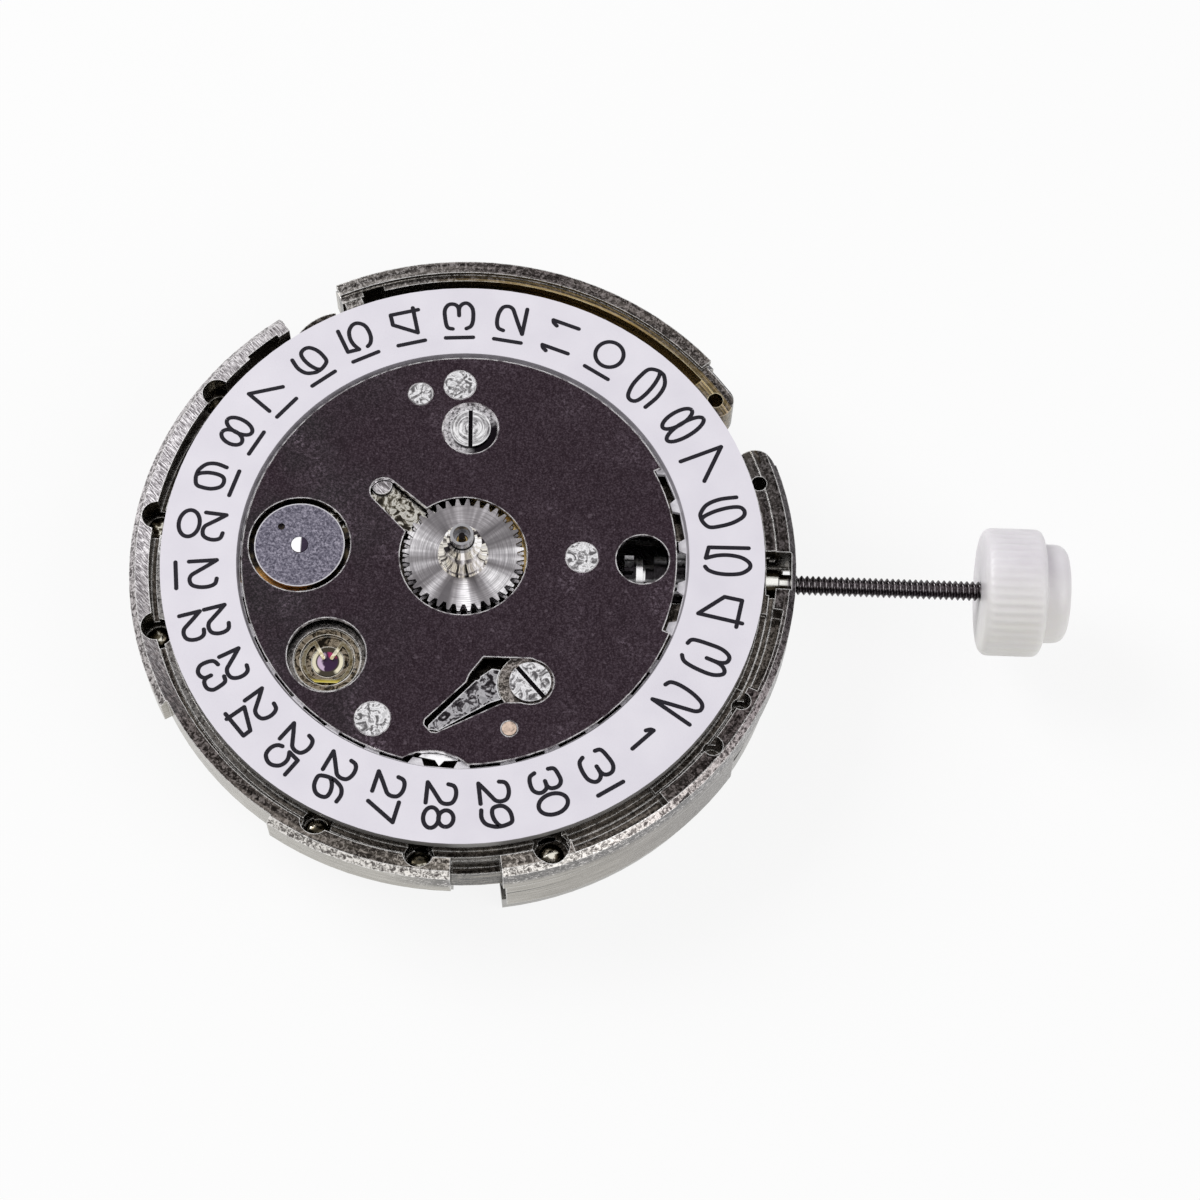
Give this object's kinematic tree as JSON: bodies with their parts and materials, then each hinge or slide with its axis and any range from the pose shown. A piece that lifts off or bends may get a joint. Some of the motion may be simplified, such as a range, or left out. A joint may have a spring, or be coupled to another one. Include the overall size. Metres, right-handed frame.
{
  "type": "automatic watch movement",
  "caption": "Round automatic watch movement, dial side up: date ring, dark calendar plate, hour and cannon pinions, gear train, balance, rotor, stem and transport crown.",
  "frame": {"origin": "on the hand axis, level with the top face of the date ring", "axes": "+X along the winding stem to the crown, +Y to twelve o'clock, +Z out of the dial side"},
  "size_m": [0.037, 0.026, 0.0077],
  "materials": {
    "nickel": "satin nickel",
    "steel": "polished",
    "dark_plate": "dark mirror with fine grain",
    "brass": "gilt brass",
    "gilt": "gilt",
    "ruby": "synthetic ruby",
    "face_white": "satin lilac white, dark numerals",
    "milky": "milky, slightly translucent",
    "satin_blue": "satin blue grey",
    "blue_steel": "blued spring steel"
  },
  "bodies": {
    "movement": {"mainplate": "nickel", "centre_tube": "steel", "train_jewels": "ruby", "calendar_plate": "dark_plate", "calendar_plate_screws": "steel", "calendar_plate_posts": "nickel", "locating_pin": "brass", "date_jumper_spring": "steel", "setting_lever_spring": "steel", "yoke_spring": "steel", "barrel_bridge": "nickel", "train_bridge": "nickel", "bridge_screws": "steel", "pallet_bridge": "nickel", "balance_cock": "nickel", "shock_settings": "gilt", "shock_springs": "gilt", "cap_jewels": "ruby", "regulator": "steel", "stud_holder": "steel", "click": "steel", "click_spring": "steel", "automatic_bridge": "nickel", "rotor_bearing_post": "steel", "rotor_screw": "steel", "hairspring": "blue_steel"},
    "date_jumper": {"date_jumper": "steel"},
    "winding_pinion": {"winding_pinion": "steel"},
    "stem_and_crown": {"stem": "steel", "crown": "milky"},
    "sliding_pinion": {"sliding_pinion": "steel"},
    "setting_lever": {"setting_lever": "steel"},
    "yoke": {"yoke": "steel"},
    "crown_wheel": {"crown_wheel": "steel"},
    "ratchet": {"ratchet_wheel": "steel", "barrel_arbor": "steel"},
    "reduction_wheel": {"reduction_wheel": "brass"},
    "barrel": {"barrel_drum": "brass", "barrel_cover": "brass", "mainspring": "steel"},
    "centre_wheel": {"centre_wheel": "brass"},
    "third_wheel": {"third_wheel": "brass"},
    "seconds_wheel": {"seconds_wheel": "brass"},
    "escape_wheel": {"escape_wheel": "steel"},
    "pallet_fork": {"pallet_fork": "steel", "pallet_stones": "ruby"},
    "balance": {"balance_wheel": "gilt", "balance_staff": "steel"},
    "cannon_pinion": {"cannon_pinion": "steel"},
    "minute_wheel": {"minute_wheel": "brass"},
    "hour_wheel": {"hour_wheel": "nickel"},
    "intermediate_date_wheel": {"intermediate_date_wheel": "brass"},
    "date_driving_wheel": {"date_driving_wheel": "satin_blue"},
    "setting_wheel": {"setting_wheel": "steel"},
    "date_ring": {"date_ring": "face_white"},
    "rotor": {"rotor_weight": "nickel", "rotor_carrier": "steel"},
    "bearing_balls": {"bearing_balls": "steel"},
    "reversing_wheel_a": {"reversing_wheel_a": "steel"},
    "reversing_wheel_b": {"reversing_wheel_b": "steel"}
  },
  "joints": [
    {"name": "crown_turn", "type": "hinge", "parent": "movement", "child": "winding_pinion", "pos_m": [0.0086, 0, -0.00186], "axis": [1, 0, 0], "continuous": true},
    {"name": "crown_pull", "type": "slide", "parent": "winding_pinion", "child": "stem_and_crown", "axis": [1, 0, 0], "range_m": [0, 0.001]},
    {"name": "pinion_shift", "type": "slide", "parent": "winding_pinion", "child": "sliding_pinion", "axis": [1, 0, 0], "range_m": [-0.00075, 0]},
    {"name": "setting_lever_swing", "type": "hinge", "parent": "movement", "child": "setting_lever", "pos_m": [0.0106, -0.0026, -0.00084], "axis": [0, 0, 1], "range_deg": [-28, 0]},
    {"name": "yoke_swing", "type": "hinge", "parent": "movement", "child": "yoke", "pos_m": [0.0069, -0.004, -0.00084], "axis": [0, 0, 1], "range_deg": [0, 14]},
    {"name": "crown_wheel_turn", "type": "hinge", "parent": "movement", "child": "crown_wheel", "pos_m": [0.006, 0, -0.0043], "axis": [0, 0, 1], "continuous": true},
    {"name": "ratchet_turn", "type": "hinge", "parent": "movement", "child": "ratchet", "pos_m": [0.00205, 0.00554, -0.0043], "axis": [0, 0, 1], "continuous": true},
    {"name": "reduction_turn", "type": "hinge", "parent": "movement", "child": "reduction_wheel", "pos_m": [-0.00311, 0.00432, -0.0046], "axis": [0, 0, 1], "continuous": true},
    {"name": "seconds_turn", "type": "hinge", "parent": "movement", "child": "seconds_wheel", "pos_m": [0, 0, -0.0029], "axis": [0, 0, 1], "continuous": true},
    {"name": "third_turn", "type": "hinge", "parent": "movement", "child": "third_wheel", "pos_m": [0.0026, -0.00218, -0.0032], "axis": [0, 0, 1], "continuous": true},
    {"name": "centre_turn", "type": "hinge", "parent": "movement", "child": "centre_wheel", "pos_m": [0, 0, -0.0016], "axis": [0, 0, 1], "continuous": true},
    {"name": "barrel_turn", "type": "hinge", "parent": "movement", "child": "barrel", "pos_m": [0.00205, 0.00554, -0.0022], "axis": [0, 0, 1], "continuous": true},
    {"name": "escape_turn", "type": "hinge", "parent": "movement", "child": "escape_wheel", "pos_m": [-0.0006, -0.00324, -0.0023], "axis": [0, 0, 1], "continuous": true},
    {"name": "pallet_swing", "type": "hinge", "parent": "movement", "child": "pallet_fork", "pos_m": [-0.00268, -0.00375, -0.0023], "axis": [0, 0, 1], "range_deg": [-5, 5]},
    {"name": "balance_swing", "type": "hinge", "parent": "movement", "child": "balance", "pos_m": [-0.00504, -0.00432, -0.0032], "axis": [0, 0, 1], "range_deg": [-270, 270], "stiffness_Nm_per_rad": 0.00000043},
    {"name": "hands_turn", "type": "hinge", "parent": "movement", "child": "cannon_pinion", "pos_m": [0, 0, 0.0005], "axis": [0, 0, 1], "continuous": true},
    {"name": "minute_turn", "type": "hinge", "parent": "movement", "child": "minute_wheel", "pos_m": [0.0022, 0.00175, -0.0007], "axis": [0, 0, 1], "continuous": true},
    {"name": "hour_turn", "type": "hinge", "parent": "movement", "child": "hour_wheel", "pos_m": [0, 0, 0.0003], "axis": [0, 0, 1], "continuous": true},
    {"name": "date_idler_turn", "type": "hinge", "parent": "movement", "child": "intermediate_date_wheel", "pos_m": [-0.00334, 0.00301, -0.0005], "axis": [0, 0, 1], "continuous": true},
    {"name": "date_wheel_turn", "type": "hinge", "parent": "movement", "child": "date_driving_wheel", "pos_m": [-0.00639, 0.00024, -0.0004], "axis": [0, 0, 1], "continuous": true},
    {"name": "setting_turn", "type": "hinge", "parent": "movement", "child": "setting_wheel", "pos_m": [0.00462, 0.0001, -0.0007], "axis": [0, 0, 1], "continuous": true},
    {"name": "date_ring_turn", "type": "hinge", "parent": "movement", "child": "date_ring", "pos_m": [0, 0, -0.0002], "axis": [0, 0, 1], "continuous": true},
    {"name": "jumper_swing", "type": "hinge", "parent": "movement", "child": "date_jumper", "pos_m": [0.00209, -0.00709, -0.0003], "axis": [0, 0, 1], "range_deg": [-8, 0]},
    {"name": "rotor_turn", "type": "hinge", "parent": "movement", "child": "rotor", "pos_m": [0, 0, -0.005], "axis": [0, 0, 1], "continuous": true},
    {"name": "bearing_ball_turn", "type": "hinge", "parent": "movement", "child": "bearing_balls", "pos_m": [0, 0, -0.0049], "axis": [0, 0, 1], "continuous": true},
    {"name": "reverser_a_turn", "type": "hinge", "parent": "movement", "child": "reversing_wheel_a", "pos_m": [-0.00268, 0.00135, -0.0048], "axis": [0, 0, 1], "continuous": true},
    {"name": "reverser_b_turn", "type": "hinge", "parent": "movement", "child": "reversing_wheel_b", "pos_m": [-0.00516, 0.00213, -0.0048], "axis": [0, 0, 1], "continuous": true}
  ],
  "couplings": [
    {"joint": "pinion_shift", "follows": "crown_pull", "ratio": -0.75},
    {"joint": "setting_lever_swing", "follows": "crown_pull", "rad_per_m": -480.8},
    {"joint": "yoke_swing", "follows": "crown_pull", "rad_per_m": 228.7},
    {"joint": "crown_wheel_turn", "follows": "crown_turn", "ratio": 0.44444},
    {"joint": "ratchet_turn", "follows": "crown_turn", "ratio": -0.24242},
    {"joint": "reduction_turn", "follows": "crown_turn", "ratio": 1.1852},
    {"joint": "third_turn", "follows": "seconds_turn", "ratio": -0.13333},
    {"joint": "centre_turn", "follows": "seconds_turn", "ratio": 0.016667},
    {"joint": "barrel_turn", "follows": "seconds_turn", "ratio": -0.0023148},
    {"joint": "escape_turn", "follows": "seconds_turn", "ratio": -12},
    {"joint": "minute_turn", "follows": "hands_turn", "ratio": -0.33333},
    {"joint": "hour_turn", "follows": "hands_turn", "ratio": 0.083333},
    {"joint": "date_idler_turn", "follows": "hands_turn", "ratio": -0.083333},
    {"joint": "date_wheel_turn", "follows": "hands_turn", "ratio": 0.041667},
    {"joint": "setting_turn", "follows": "hands_turn", "ratio": 0.85714},
    {"joint": "bearing_ball_turn", "follows": "rotor_turn", "ratio": 0.58763},
    {"joint": "reverser_a_turn", "follows": "rotor_turn", "ratio": -1.3077},
    {"joint": "reverser_b_turn", "follows": "rotor_turn", "ratio": 1.3077}
  ]
}
